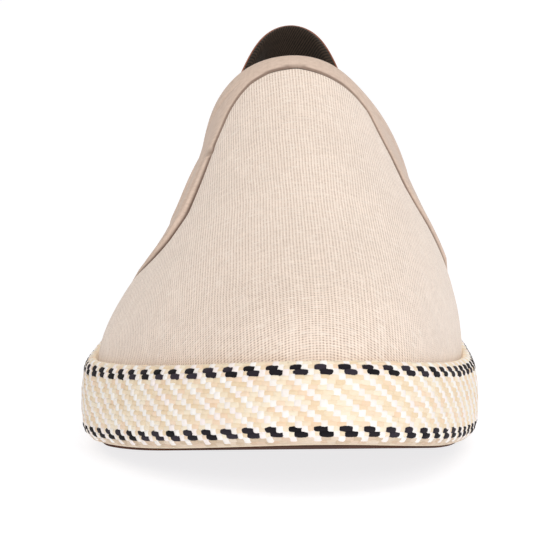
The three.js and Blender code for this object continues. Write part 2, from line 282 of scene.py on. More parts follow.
class Look:
    """A material with one Principled shader, and short names for the nodes that feed it."""

    def __init__(self, name, roughness, **sockets):
        self.material = bpy.data.materials.new(name)
        self.material.use_nodes = True
        self.tree = self.material.node_tree
        self.shader = self.tree.nodes["Principled BSDF"]
        self.shader.inputs["Roughness"].default_value = roughness
        for socket, value in sockets.items():
            self.shader.inputs[socket.replace("_", " ")].default_value = value
        self.uv = self.node("ShaderNodeUVMap", uv_map="cloth").outputs[0]
        parts = self.node("ShaderNodeSeparateXYZ", [self.uv])
        self.u, self.v = parts.outputs[0], parts.outputs[1]
        self.place = self.node("ShaderNodeTexCoord").outputs["Object"]

    def node(self, kind, values=(), **settings):
        made = self.tree.nodes.new(kind)
        for key, value in settings.items():
            setattr(made, key, value)
        for socket, value in enumerate(values):
            self.feed(made.inputs[socket], value)
        return made

    def feed(self, socket, value):
        if isinstance(value, bpy.types.NodeSocket):
            self.tree.links.new(value, socket)
        elif value is not None:
            socket.default_value = value

    def math(self, operation, *values, clamp=False):
        return self.node("ShaderNodeMath", values, operation=operation, use_clamp=clamp).outputs[0]

    def times(self, first, second, clamp=False):
        return self.math("MULTIPLY", first, second, clamp=clamp)

    def scaled(self, value, factor, offset):
        """Value times factor plus offset."""
        return self.math("MULTIPLY_ADD", value, factor, offset)

    def ramp(self, value, low, high):
        """0 below low, 1 above high, smooth between."""
        limits = [value, low, high, 0.0, 1.0]
        return self.node("ShaderNodeMapRange", limits, interpolation_type="SMOOTHSTEP").outputs[0]

    def wave(self, value, pitch, phase=0.0):
        """A sine from 0 to 1 that repeats every pitch."""
        turned = self.scaled(value, 2 * math.pi / pitch, phase)
        return self.scaled(self.math("SINE", turned), 0.5, 0.5)

    def mix(self, share, first, second):
        made = self.node("ShaderNodeMix", data_type="RGBA")
        self.feed(made.inputs[0], share)
        self.feed(made.inputs[6], first)
        self.feed(made.inputs[7], second)
        return made.outputs[2]

    def shade(self, colour, factor):
        """Colour times a grey factor."""
        made = self.node("ShaderNodeVectorMath", operation="SCALE")
        self.feed(made.inputs[0], colour)
        self.feed(made.inputs["Scale"], factor)
        return made.outputs[0]

    def stretched(self, across, along, offset=0.0):
        """The cloth's UV in other units, so that noise is drawn out one way."""
        x = self.scaled(self.u, across, offset)
        y = self.times(self.v, along)
        return self.node("ShaderNodeCombineXYZ", [x, y]).outputs[0]

    def noise(self, vector, scale, detail=2.0, rough=0.5):
        made = self.node("ShaderNodeTexNoise")
        self.feed(made.inputs["Vector"], vector)
        made.inputs["Scale"].default_value = scale
        made.inputs["Detail"].default_value = detail
        made.inputs["Roughness"].default_value = rough
        return made.outputs["Fac"] if "Fac" in made.outputs else made.outputs[0]

    def streaks(self, across, along, offset=0.0, detail=2.0):
        """Noise with across and along cycles a millimetre, so that it is drawn out one way."""
        return self.noise(self.stretched(across, along, offset), 1.0, detail)

    def attribute(self, name):
        return self.node("ShaderNodeAttribute", attribute_name=name).outputs["Fac"]

    def finish(self, colour, height=None, relief=0.1, strength=1.0, roughness=None):
        """Connect the colour, and a bump whose height of 1 stands relief millimetres proud."""
        self.feed(self.shader.inputs["Base Color"], colour)
        if roughness is not None:
            self.feed(self.shader.inputs["Roughness"], roughness)
        if height is not None:
            bump = self.node("ShaderNodeBump")
            bump.inputs["Strength"].default_value = strength
            bump.inputs["Distance"].default_value = relief * MM
            self.feed(bump.inputs["Height"], height)
            self.feed(self.shader.inputs["Normal"], bump.outputs[0])
        return self.material


STRIPE_PITCH = 0.785
WEFT_PITCH = 0.72


def striped_canvas():
    """Fine lengthwise stripes, the dots of the weft, and short cream slubs across."""
    look = Look("striped_canvas", 0.92, Sheen_Weight=0.25, Sheen_Roughness=0.5)
    wander = look.scaled(look.streaks(0.06, 0.05), 0.5, -0.25)
    # The cloth is stretched over the toes, so its stripes stand further apart there.
    stretch = look.node("ShaderNodeMapRange", [look.v, 20.0, 65.0, 0.885, 1.0]).outputs[0]
    across = look.scaled(look.u, stretch, wander)
    stripe = look.ramp(look.wave(across, STRIPE_PITCH), 0.1, 0.8)
    thin = look.streaks(2.2, 0.12, 50.0)
    stripe = look.times(stripe, look.scaled(thin, 0.9, 0.5), clamp=True)
    # Near the toe the stripes fade and the dark dots of the weft stand out.
    toe = look.node("ShaderNodeMapRange", [look.v, 5.0, 50.0, 1.0, 0.0]).outputs[0]
    fade = look.scaled(toe, -0.3, 1.0)
    stripe = look.scaled(stripe, fade, look.times(toe, 0.12))
    along = look.math("ADD", look.v, look.times(look.streaks(0.9, 0.1), 0.5))
    weft = look.wave(along, WEFT_PITCH)
    dots = look.times(look.ramp(weft, 0.55, 0.95), look.math("SUBTRACT", 1.0, stripe))
    broken = look.ramp(look.streaks(1.1, 0.5, 31.0, detail=3.0), 0.42, 0.6)
    slubs = look.ramp(look.streaks(0.26, 1.6, 7.0, detail=3.0), 0.54, 0.68)
    faded = look.ramp(look.streaks(0.3, 0.12, 3.0), 0.5, 0.75)
    base = look.mix(stripe, CANVAS_BEIGE, CANVAS_CREAM)
    spots = look.scaled(toe, 0.45, look.scaled(broken, 0.5, 0.25))
    base = look.mix(look.times(dots, spots), base, CANVAS_DOT)
    base = look.mix(look.times(slubs, 0.55), base, CANVAS_SLUB)
    base = look.mix(look.times(faded, 0.3), base, CANVAS_CREAM)
    cloudy = look.scaled(look.noise(look.place, 45.0, 3.0), 0.12, 0.94)
    speck = look.scaled(look.streaks(2.6, 2.0, 90.0), 0.36, 0.82)
    heather = look.scaled(look.streaks(0.2, 1.3, 60.0, detail=3.0), 0.2, 0.9)
    strands = look.scaled(look.streaks(1.5, 0.09, 70.0, detail=3.0), 0.16, 0.92)
    cloudy = look.times(look.times(cloudy, speck), look.times(heather, strands))
    # The tint attribute darkens the cloth: painted shade in the seam's groove and its nick.
    base = look.mix(look.times(look.attribute("tint"), 0.92), base, SEAM_SHADE)
    height = look.math("ADD", look.times(stripe, 0.6), look.times(weft, 0.4))
    height = look.scaled(slubs, 0.5, height)
    return look.finish(look.shade(base, cloudy), height, relief=0.09, strength=0.8)


def plain_canvas(name, light, dark, pitch, sheen):
    """A tight plain weave: yarns that pass over and under, with soft unevenness."""
    look = Look(name, 0.94, Sheen_Weight=sheen, Sheen_Roughness=0.5)
    warp = look.wave(look.u, pitch)
    weft = look.wave(look.v, pitch)
    flip = look.times(look.math("SUBTRACT", 1.0, warp), look.math("SUBTRACT", 1.0, weft))
    checks = look.scaled(warp, weft, flip)
    uneven = look.streaks(0.25, 1.2, 5.0, detail=3.0)
    streak = look.streaks(1.4, 0.16, 2.0, detail=3.0)
    tone = look.math("ADD", look.times(checks, 0.22), look.times(uneven, 0.75))
    tone = look.scaled(streak, 0.3, tone)
    base = look.mix(look.ramp(tone, 0.1, 0.95), dark, light)
    cloudy = look.scaled(look.noise(look.place, 40.0, 3.0), 0.1, 0.95)
    # The tint attribute darkens the cloth: painted shade in the seam's groove, its nick and the trough beside
    # it.
    base = look.mix(look.times(look.attribute("tint"), 0.92), base, SEAM_SHADE)
    return look.finish(look.shade(base, cloudy), checks, relief=0.05, strength=0.7)


def dark_twill(name, light, dark, pitch):
    """Fine diagonal ribs."""
    look = Look(name, 0.95, Sheen_Weight=0.12, Sheen_Roughness=0.4, Specular_IOR_Level=0.2)
    slant = look.scaled(look.v, 0.8, look.u)
    rib = look.wave(slant, pitch)
    thread = look.wave(look.math("SUBTRACT", look.v, look.u), pitch * 0.6)
    grain = look.streaks(0.8, 0.8, detail=4.0)
    tone = look.math("ADD", look.times(rib, 0.6), look.times(grain, 0.5))
    base = look.mix(look.ramp(tone, 0.15, 0.95), dark, light)
    height = look.scaled(thread, 0.3, rib)
    return look.finish(base, height, relief=0.1, strength=0.9)


def leather():
    """Brown leather: pebbled grain, darker pores, paler rubbed edges."""
    look = Look("heel_leather", 0.55, Coat_Weight=0.08, Coat_Roughness=0.4)
    cells = look.node("ShaderNodeTexVoronoi", feature="DISTANCE_TO_EDGE")
    look.feed(cells.inputs["Vector"], look.stretched(1.0, 1.0))
    cells.inputs["Scale"].default_value = 0.9
    pebble = look.ramp(cells.outputs[0], 0.0, 0.25)
    cloudy = look.streaks(0.12, 0.12, detail=4.0)
    base = look.mix(look.ramp(cloudy, 0.3, 0.7), srgb(112, 64, 42), srgb(144, 88, 62))
    base = look.mix(look.scaled(pebble, -0.5, 0.5), base, srgb(62, 34, 22))
    base = look.mix(look.attribute("tint"), base, srgb(168, 106, 80))
    gloss = look.scaled(cloudy, 0.2, 0.45)
    return look.finish(base, pebble, relief=0.08, strength=0.7, roughness=gloss)


def yarn(name, light, dark, fleck, depth=1.0, roughness=0.95, sheen=0.15):
    """Twisted yarn: u runs along the yarn and v across it, and each float has its own tint."""
    look = Look(name, roughness, Sheen_Weight=sheen, Sheen_Roughness=0.6, Specular_IOR_Level=0.25)
    tint = look.attribute("tint")
    shift = look.times(tint, 37.0)
    u = look.math("ADD", look.u, shift)
    fibre_at = [look.times(u, 0.8), look.times(look.v, 5.0), shift]
    fibre = look.noise(look.node("ShaderNodeCombineXYZ", fibre_at).outputs[0], 1.0, 3.0, 0.6)
    twist = look.wave(look.scaled(look.v, 1.6, u), 0.75)
    tone = look.scaled(tint, 0.55, look.times(fibre, 0.6))
    base = look.mix(look.ramp(tone, 0.15, 1.0), dark, light)
    other = look.math("FRACT", look.times(tint, 7.31))
    base = look.mix(look.times(look.ramp(other, 0.55, 0.9), 0.5), base, fleck)
    base = look.mix(look.times(look.ramp(fibre, 0.55, 0.75), 0.4), base, dark)
    height = look.scaled(twist, 0.5, fibre)
    return look.finish(base, height, relief=0.12 * depth, strength=0.8)


def rubber():
    look = Look("outsole_rubber", 0.9, Specular_IOR_Level=0.12)
    grain = look.noise(look.stretched(1.0, 1.0), 0.8, 5.0)
    cloudy = look.noise(look.place, 60.0, 3.0)
    base = look.mix(look.ramp(cloudy, 0.3, 0.7), srgb(60, 28, 12), srgb(80, 43, 21))
    base = look.mix(look.ramp(grain, 0.55, 0.8), base, srgb(104, 72, 52))
    rough = look.scaled(grain, 0.2, 0.75)
    return look.finish(base, grain, relief=0.15, strength=0.6, roughness=rough)


CANVAS_CREAM = srgb(254, 239, 226)
CANVAS_BEIGE = srgb(231, 211, 196)
CANVAS_DOT = srgb(160, 134, 116)
CANVAS_SLUB = srgb(254, 243, 232)
# Colour of the painted shade in the seam's groove and its nick.
SEAM_SHADE = srgb(92, 66, 52)

stripes_look = striped_canvas()
plain_look = plain_canvas("collar_cloth", srgb(226, 204, 188), srgb(198, 174, 157), 0.62, 0.12)
# The seam allowance is a darker copy of the collar cloth: painted shade behind the seam's groove.
seam_backing_shaded_look = plain_canvas("seam_cloth_painted_shade", srgb(176, 152, 138), srgb(140, 116, 102), 0.62, 0.1)
lining_look = dark_twill("dark_lining", srgb(64, 52, 43), srgb(29, 24, 19), 1.0)
leather_look = leather()
jute_look = yarn("jute_yarn", srgb(255, 244, 223), srgb(242, 218, 183), srgb(249, 214, 185))
white_look = yarn("white_yarn", srgb(255, 253, 250), srgb(248, 240, 234), srgb(255, 240, 238), depth=0.6)
navy_look = yarn("navy_yarn", srgb(38, 33, 41), srgb(11, 10, 14), srgb(66, 58, 70), sheen=0.02)
# A darker copy of the jute for the bottom hem rows: painted shade where the hem curves under.
shaded_hem_look = yarn("hem_yarn_painted_shade", srgb(238, 221, 202), srgb(208, 184, 156), srgb(224, 192, 166))
base_look = yarn("tape_ground", srgb(252, 240, 220), srgb(226, 202, 170), srgb(214, 180, 146))
thread_look = yarn("sewing_thread", srgb(240, 228, 214), srgb(214, 198, 182), srgb(200, 180, 160), depth=0.4)
rubber_look = rubber()

# ------------------------------------------------------------------ stripes on the vamp


def stripe_tables():
    """Distance across from the ridge, and distance down the stripes, on the front of the wall."""
    half = 5 * 48
    columns = np.arange(-half, half + 1)
    front = WALL[columns % WALL_PLACES]
    ridge = WALL[0]
    first = np.argmin(ridge[:, 1])
    level_low, level_high = front[:, 0, 1].min() + 1.5, 130.5
    levels = np.arange(level_low, level_high, 1.0)
    order = np.argsort(ridge[first:, 1])
    ridge_x = np.interp(levels, ridge[first:, 1][order], ridge[first:, 0][order])
    angles = np.radians(np.linspace(-115, 115, 231))
    base = 12.0 + spring_at(levels)
    across = np.empty((len(levels), len(angles)))
    y = front[..., 1]
    for k, level in enumerate(levels):
        hits = []
        for a, b in ((front[:-1], front[1:]), (front[:, :-1], front[:, 1:])):
            ya, yb = a[..., 1] - level, b[..., 1] - level
            crossed = ya * yb < 0
            t = (ya / (ya - yb + 1e-12))[crossed][:, None]
            hits.append(a[crossed] * (1 - t) + b[crossed] * t)
        hits = np.concatenate(hits)
        x, z = hits[:, 0] - ridge_x[k], hits[:, 2] - base[k]
        turn = np.arctan2(x, z)
        order = np.argsort(turn)
        radius = np.interp(angles, turn[order], np.hypot(x, z)[order])
        rim = np.stack([radius * np.sin(angles), radius * np.cos(angles)], 1)
        run = np.append(0, np.cumsum(np.linalg.norm(np.diff(rim, axis=0), axis=1)))
        across[k] = run - run[len(angles) // 2]
    # Look the tables up at every point of the front of the wall.
    at = np.clip((y - levels[0]) / 1.0, 0, len(levels) - 1.001)
    k0 = np.floor(at).astype(int)
    f = at - k0
    sideways = front[..., 0] - np.interp(y, levels, ridge_x)
    turn = np.arctan2(sideways, front[..., 2] - np.interp(y, levels, base))
    place = np.clip((turn - angles[0]) / (angles[1] - angles[0]), 0, len(angles) - 1.001)
    a0 = np.floor(place).astype(int)
    g = place - a0
    u = (across[k0, a0] * (1 - g) + across[k0, a0 + 1] * g) * (1 - f)
    u += (across[k0 + 1, a0] * (1 - g) + across[k0 + 1, a0 + 1] * g) * f
    # Over the steep toe the stripes run straight down, evenly spaced across.
    ahead = eased(np.clip((45 - y) / 32, 0, 1))
    u = u * (1 - ahead) + sideways * 1.03 * ahead
    step = np.diff(front, axis=1)
    length = np.linalg.norm(step, axis=2)
    down = np.sqrt(np.clip(length**2 - np.diff(u, axis=1) ** 2, 0, None)) * np.sign(step[..., 1] + 1e-9)
    from_collar = np.cumsum(down[:, ::-1], 1)[:, ::-1]
    v = front[:, -1:, 1] - np.concatenate([from_collar, np.zeros((len(columns), 1))], 1)
    # Back on the whole wall's grid, so that sample() can read them.
    whole_u = np.zeros((WALL_PLACES, WALL_SHARES))
    whole_v = np.zeros((WALL_PLACES, WALL_SHARES))
    whole_u[columns % WALL_PLACES] = u
    whole_v[columns % WALL_PLACES] = v
    return whole_u, whole_v


STRIPE_U, STRIPE_V = stripe_tables()

# ------------------------------------------------------------------ the seam of the vamp

# Where the seam runs on each side, as (share, place), from the sole to the middle of the throat.
SEAM_TOP = 0.966
SEAM_MIDDLE = 0.1
OUTER_SEAM = np.array([
    (0.0, -3.7), (0.2, -3.55), (0.36, -3.2), (0.41, -2.7), (0.43, -2.15), (0.47, -1.8), (0.55, -1.55),
    (0.8, -1.45), (0.89, -1.3), (0.925, -1.1), (0.945, -0.9), (0.96, -0.5), (SEAM_TOP, SEAM_MIDDLE),
])
INNER_SEAM = np.array([
    (0.0, 4.35), (0.2, 4.1), (0.38, 3.75), (0.48, 3.45), (0.53, 3.1), (0.55, 2.8), (0.58, 2.55), (0.65, 2.35),
    (0.77, 2.3), (0.92, 2.05), (0.94, 1.75), (0.95, 1.35), (0.962, 0.35), (SEAM_TOP, SEAM_MIDDLE),
])


def seam_place(seam, share):
    """The seam's place at a share. Above its top both sides have met in the middle."""
    fine = np.linspace(0, SEAM_TOP, 800)
    places = np.interp(fine, seam[:, 0], seam[:, 1])
    kernel = np.hanning(55)
    kernel /= kernel.sum()
    padded = np.pad(places, 27, mode="edge")
    soft = np.convolve(padded, kernel, "valid")
    keep = np.clip((fine - 0.9) / 0.05, 0, 1)
    return np.interp(share, fine, soft * (1 - keep) + places * keep)


def seam_rows(count):
    """Shares up to the seam's top, closer together where either side of it runs sideways."""
    fine = np.linspace(0, SEAM_TOP, 3000)
    sideways = sum(np.abs(np.diff(seam_place(seam, fine))) for seam in (OUTER_SEAM, INNER_SEAM))
    travel = np.append(0, np.cumsum(np.diff(fine) * 150.0 + sideways * 22.0))
    return np.interp(np.linspace(0, travel[-1], count), travel, fine)


SEAM_WIDTH = 0.42
seam_shares = seam_rows(700)
seam_places = np.concatenate([seam_place(OUTER_SEAM, seam_shares), seam_place(INNER_SEAM, seam_shares)])
SEAM_POINTS = wall_at(seam_places, np.tile(seam_shares, 2), 0.0)
SEAM_SHARES = np.tile(seam_shares, 2)
SEAM_IS_OUTER = np.repeat([True, False], len(seam_shares))


def seam_distance(points):
    """Distance to the seam, and the share and side of the nearest seam point."""
    flat = points.reshape(-1, 3)
    nearest = np.empty(len(flat))
    index = np.empty(len(flat), int)
    for start in range(0, len(flat), 4000):
        part = flat[start : start + 4000]
        squares = ((part[:, None] - SEAM_POINTS[None]) ** 2).sum(2)
        index[start : start + 4000] = squares.argmin(1)
        nearest[start : start + 4000] = np.sqrt(squares.min(1))
    shape = points.shape[:-1]
    return nearest.reshape(shape), SEAM_SHARES[index].reshape(shape), SEAM_IS_OUTER[index].reshape(shape)


def notch(points):
    """1 at the small nick where the outer side's seam starts to dip, 0 a few millimetres away."""
    middle = wall_at(seam_place(OUTER_SEAM, 0.772) - 0.03, 0.772, 0.0)
    return np.exp(-(((points - middle) ** 2).sum(-1)) / 1.1**2)


def seam_groove_shade(distance, seam_share, outer, width):
    """How dark the painted shade along the seam's groove is: strongest where it dips on the outer side."""
    outer_strength = 0.7 + 0.3 * bell(seam_share, 0.55, 0.2)
    inner_strength = 0.65 + 0.2 * bell(seam_share, 0.65, 0.2)
    strength = np.where(outer, outer_strength, inner_strength)
    return strength * bell(np.clip(distance - width, 0, None), 0, 0.16)


# ------------------------------------------------------------------ vamp

VAMP_ROWS = 230
VAMP_COLUMNS = 190


def make_vamp():
    """The striped panel over the toes and instep, dipping into its seam."""
    share = np.minimum(seam_rows(VAMP_ROWS), SEAM_TOP - 0.0002)
    low = seam_place(OUTER_SEAM, share)
    high = seam_place(INNER_SEAM, share)
    across = np.linspace(0, 1, VAMP_COLUMNS)
    across = across - 0.115 * np.sin(2 * np.pi * across)
    place = low[:, None] + (high - low)[:, None] * across
    shares = np.broadcast_to(share[:, None], place.shape)
    flat = wall_at(place, shares, 0.0)
    distance, seam_share, outer = seam_distance(flat)
    deep = np.where(outer, 0.6 + 0.5 * bell(seam_share, 0.6, 0.16), 0.6 + 0.2 * bell(seam_share, 0.6, 0.16))
    # Low down on the outer side the vamp lies proud of the quarter.
    lap = 0.1 * outer * bell(seam_share, 0.41, 0.06) * np.exp(-distance / 9.0)
    out = lap - deep * bell(distance, 0, SEAM_WIDTH) - 0.25 * np.exp(-distance / 3.0)
    # Broad soft unevenness of cloth over a lining, and the slight pull at the edge of the sole.
    out = out + 0.22 * np.sin(place * 2.1 + 0.6) * np.sin(shares * 9.0 + 1.0) * np.clip(distance / 12, 0, 1)
    out = out + 0.16 * np.sin(place * 23.0) * np.exp(-shares * WALL_LENGTH.mean() / 7.0)
    out = out - 0.8 * notch(flat)
    points = wall_at(place, shares, out)
    # Painted shade: the cloth is tinted dark in the seam's groove and in the nick.
    line = np.maximum(seam_groove_shade(distance, seam_share, outer, 0.12), 0.9 * notch(flat))
    uv = np.stack([sample(STRIPE_U, place, shares), sample(STRIPE_V, place, shares)], -1)
    piece = grid_piece("vamp", points, uv, stripes_look, tint=line)
    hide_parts("upper")


# ------------------------------------------------------------------ quarters and collar hem

OUTLINE_TABLE = np.linspace(0, PLACES, 4001)
outline_points = last_at(OUTLINE_TABLE)[:, :2]
OUTLINE_RUN = np.append(0, np.cumsum(np.linalg.norm(np.diff(outline_points, axis=0), axis=1)))
OUTLINE_TOTAL = OUTLINE_RUN[-1]


def run_at(place):
    """Distance round the sole's outline at a place that may be below 0 or above 19."""
    turns = np.floor(np.asarray(place) / PLACES)
    return np.interp(np.asarray(place) - turns * PLACES, OUTLINE_TABLE, OUTLINE_RUN) + turns * OUTLINE_TOTAL


def place_at(run):
    turns = np.floor(np.asarray(run) / OUTLINE_TOTAL)
    return np.interp(np.asarray(run) - turns * OUTLINE_TOTAL, OUTLINE_RUN, OUTLINE_TABLE) + turns * PLACES


HEM_WIDTH = 5.2


# The roll over the top edge, as (down from the collar, out from the wall), outside to inside.
TOP_ROLL = [
    (0.62, 0.2), (0.34, 0.12), (0.12, -0.08), (0.0, -0.42), (-0.03, -0.8),
    (0.0, -1.2), (0.2, -1.55), (0.7, -1.75), (1.6, -1.8),
]


def make_quarters():
    """The plain piece round the collar, the sides and the heel, with its turned top edge."""
    columns = 620
    share = seam_rows(91)[:-1]
    low = seam_place(INNER_SEAM, share)
    high = seam_place(OUTER_SEAM, share) + PLACES
    across = np.linspace(0, 1, columns)
    across = across - 0.125 * np.sin(2 * np.pi * across)
    place = low[:, None] + (high - low)[:, None] * across
    shares = np.broadcast_to(share[:, None], place.shape)
    # The rows above the seam are a whole ring, ending in the roll over the top edge.
    ring_place = SEAM_MIDDLE + PLACES * across
    seam_down = (1 - SEAM_TOP) * wall_length(ring_place)
    downs = [np.maximum(seam_down * k, 0.9) for k in (1.0, 0.85, 0.7, 0.55, 0.4)]
    downs_and_roll = downs + [down for down, _ in TOP_ROLL]
    place = np.vstack([place] + [ring_place] * len(downs_and_roll))
    shares = np.vstack([shares] + [share_below(ring_place, down) for down in downs_and_roll])
    extra = np.zeros(place.shape)
    for k, (_, out) in enumerate(TOP_ROLL):
        extra[len(share) + len(downs) + k] = out
    flat = wall_at(place, shares, 0.0)
    distance, seam_share, outer = seam_distance(flat)
    down = (1 - shares) * wall_length(place)
    deep = np.where(outer, 0.9 + 0.7 * bell(seam_share, 0.6, 0.16), 0.8 + 0.3 * bell(seam_share, 0.6, 0.16))
    low_side = 1 - np.clip((seam_share - 0.55) / 0.3, 0, 1)
    low_end = np.clip((seam_share - 0.4) / 0.05, 0, 1)
    puff = np.where(outer, 0.4 + 0.5 * low_side, 0.4 + 0.3 * low_side) * low_end
    relief = -0.7 * deep * bell(distance, 0, SEAM_WIDTH)
    relief = relief + puff * (distance / 3.2) * np.exp(1 - distance / 3.2)
    # The hem round the collar is a folded double thickness: a faint step where it ends.
    on_ring = np.arange(place.shape[0])[:, None] >= len(share) + len(downs)
    step_down = 0.25 / (1 + np.exp((down - HEM_WIDTH) / 0.35))
    crease = -0.35 * bell(down, HEM_WIDTH + 0.4, 0.6) * np.clip((distance - 2.5) / 4, 0, 1)
    slack = 0.3 * np.sin(place * 3.1 + 0.4) * np.sin(shares * 7.0) * np.clip(distance / 10, 0, 1)
    # Along the sides the seam allowance pushes up a soft ridge beside the seam.
    side_fold = low_side * low_end
    fold = 0.55 * bell(distance, 1.15, 0.6) - 1.1 * bell(distance, 2.9, 0.7)
    relief = relief + fold * side_fold * np.where(outer, 1.0, 0.6) - 1.0 * notch(flat)
    out = np.where(on_ring, extra, relief + step_down + crease + slack * (down > HEM_WIDTH))
    fade = np.clip(down / 2.0, 0, 1)
    out = np.where(on_ring, out, out * fade + 0.2 * (1 - fade))
    points = wall_at(place, shares, out)
    uv = np.stack([run_at(place) * 0.93, -down], -1)
    # Painted shade: the cloth is tinted dark in the seam's groove and in the nick.
    line = np.maximum(seam_groove_shade(distance, seam_share, outer, 0.32), 0.9 * notch(flat)) * ~on_ring
    # Painted shade in the trough beside the seam's ridge along the sides.
    line = line + 0.5 * side_fold * np.where(outer, 1.0, 0.5) * bell(distance, 2.7, 0.5) * ~on_ring
    piece = grid_piece("quarters", points, uv, plain_look, merge=0.004, tint=line)
    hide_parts("collar_band")


HEEL_MIDDLE = 9.5
HEEL_WRAP = 1.95  # places either side of the heel's middle


# The lining's top rows, as (down from the collar, out from the wall), along the sides and the heel.
LINING_EDGE = [
    (0.44, -1.2), (0.42, -1.25), (0.4, -1.3), (0.36, -1.45),
    (0.3, -1.62), (0.34, -1.95), (0.6, -2.12), (1.2, -2.1),
]
LINING_HEEL_EDGE = [
    (1.6, 0.34), (0.6, 0.36), (-0.05, 0.2), (-0.26, -0.3),
    (-0.3, -0.95), (-0.18, -1.6), (0.3, -1.95), (1.2, -2.1),
]


def make_lining():
    """The dark twill inside, from just under the top edge to the insole."""
    columns = 420
    place = np.linspace(0, PLACES, columns, endpoint=False)
    # Round the heel the lining is turned out over the top edge, to just under the leather.
    heel = eased(np.clip((HEEL_WRAP - np.abs(place - HEEL_MIDDLE)) / 0.3, 0, 1))
    shares, outs = [], []
    for (down_here, out_here), (down_heel, out_heel) in zip(LINING_EDGE, LINING_HEEL_EDGE):
        shares.append(share_below(place, down_here * (1 - heel) + down_heel * heel))
        outs.append(out_here * (1 - heel) + out_heel * heel)
    for down_here in (2.5, 4.0, 6.0, 9.0, 13.0):
        shares.append(share_below(place, np.full(columns, down_here)))
        outs.append(np.full(columns, -2.0 - 0.12 * math.sin(down_here * 0.7)))
    last = shares[-1]
    for k in np.linspace(0, 1, 40)[1:]:
        shares.append(last * (1 - k) + 0.03 * k)
        outs.append(-2.0 + 0.15 * np.sin(place * 9.0) * math.sin(math.pi * k))
    shares, outs = np.array(shares), np.array(outs)
    points = wall_at(place, shares, outs)
    wide = np.append(place, PLACES)
    lengths = np.append(wall_length(place), wall_length(0.0))
    down = (1 - np.concatenate([shares, shares[:, :1]], 1)) * lengths
    uv = np.stack([np.broadcast_to(run_at(wide), down.shape), -down], -1)
    return grid_piece("lining", points, uv, lining_look, closed=True)


def make_seam_backing():
    """The turned-in seam allowance that lies behind the groove, in cloth darkened as painted shade."""
    for side, seam in (("outer", OUTER_SEAM), ("inner", INNER_SEAM)):
        share = seam_rows(300)
        place = seam_place(seam, share)
        line = wall_at(place, share, 0.0)
        normal = sample(WALL_NORMAL, place, share)
        ahead = np.gradient(line, axis=0)
        ahead /= np.linalg.norm(ahead, axis=1, keepdims=True)
        across = np.cross(ahead, normal)
        offsets = np.linspace(-2.4, 2.4, 9)
        points = line[:, None] + across[:, None] * offsets[None, :, None] - normal[:, None] * 1.0
        run = np.append(0, np.cumsum(np.linalg.norm(np.diff(line, axis=0), axis=1)))
        uv = np.stack(np.broadcast_arrays(offsets[None, :], run[:, None]), -1)
        grid_piece(f"seam_allowance_{side}", points, uv, seam_backing_shaded_look, flip=True)


# ------------------------------------------------------------------ stitches


def make_stitches(name, points, normals, length, gap, radius, material, sink=0.35):
    """A row of stitches along a line of points: each a short rounded thread lying in the cloth."""
    run = np.append(0, np.cumsum(np.linalg.norm(np.diff(points, axis=0), axis=1)))
    count = int(run[-1] / (length + gap))
    centre = (np.arange(count) + 0.5) * run[-1] / count
    along = np.linspace(-1, 1, 9)
    turn = np.linspace(0, 2 * np.pi, 8, endpoint=False)
    at = centre[:, None] + along * length / 2
    spine = np.stack([np.interp(at, run, points[:, k]) for k in range(3)], -1)
    up = np.stack([np.interp(at, run, normals[:, k]) for k in range(3)], -1)
    up /= np.linalg.norm(up, axis=-1, keepdims=True)
    ahead = np.gradient(spine, axis=1)
    ahead /= np.linalg.norm(ahead, axis=-1, keepdims=True)
    side = np.cross(ahead, up)
    lift = radius * (1 - sink) - (np.abs(along) ** 4) * radius * 1.6
    thick = radius * np.sqrt(np.clip(1.02 - along**6, 0, None))
    cosine, sine = np.cos(turn)[:, None], np.sin(turn)[:, None]
    ring = cosine * side[:, :, None] + sine * up[:, :, None]
    body = (spine + up * lift[None, :, None])[:, :, None] + ring * thick[None, :, None, None]
    tint = np.broadcast_to(rng.random(count)[:, None, None], body.shape[:3])
    u = np.broadcast_to((along * length / 2)[None, :, None], (count, 9, 9))
    v = np.broadcast_to((np.arange(9) / 8 * 2 * np.pi * radius)[None, None, :], (count, 9, 9))
    return patches_piece(name, body, np.stack([u, v], -1), material, tint=tint, closed=True)


# ------------------------------------------------------------------ heel leather

PATCH_HEIGHT = 46.0
PATCH_HALF_WIDTH = 1.7  # in places
PATCH_HALF_SPAN = 26.0
PATCH_TAPER = 0.62  # how much of its height the patch loses at its sides
STITCH_INSET = 2.4


def patch_depth(across):
    """How far down the patch reaches, where across runs from -1 to 1."""
    return PATCH_HEIGHT * (1 - PATCH_TAPER * np.abs(across) ** 3)


